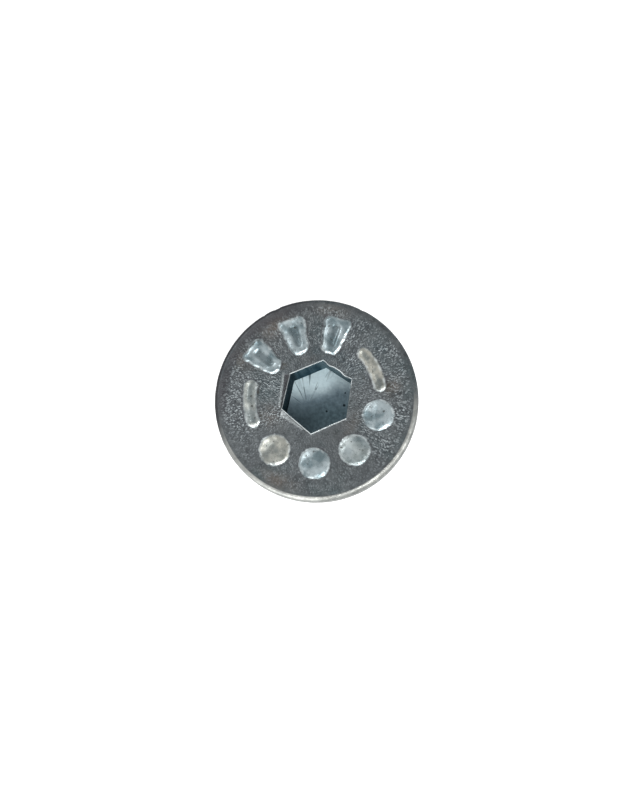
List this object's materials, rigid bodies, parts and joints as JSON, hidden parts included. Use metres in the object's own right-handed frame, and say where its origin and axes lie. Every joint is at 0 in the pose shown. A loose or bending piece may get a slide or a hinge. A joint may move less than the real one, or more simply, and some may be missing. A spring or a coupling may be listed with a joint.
{
  "type": "countersunk socket screw",
  "caption": "Flat countersunk head screw with hexagon socket, raised marks on the head face and a fully threaded metric shank, standing on its thread end.",
  "frame": {"origin": "centre of the flat thread end, which the screw stands on", "axes": "+Z up the screw's axis, out of the head face; +X to the right and +Y up, as someone looking down on the head face sees it"},
  "size_m": [0.0154, 0.0154, 0.0162],
  "materials": {
    "zinc_plated_steel": "zinc-plated forged steel: grainy dark head face, brighter land, thread and marks"
  },
  "bodies": {
    "root": {"screw": "zinc_plated_steel"}
  },
  "joints": []
}
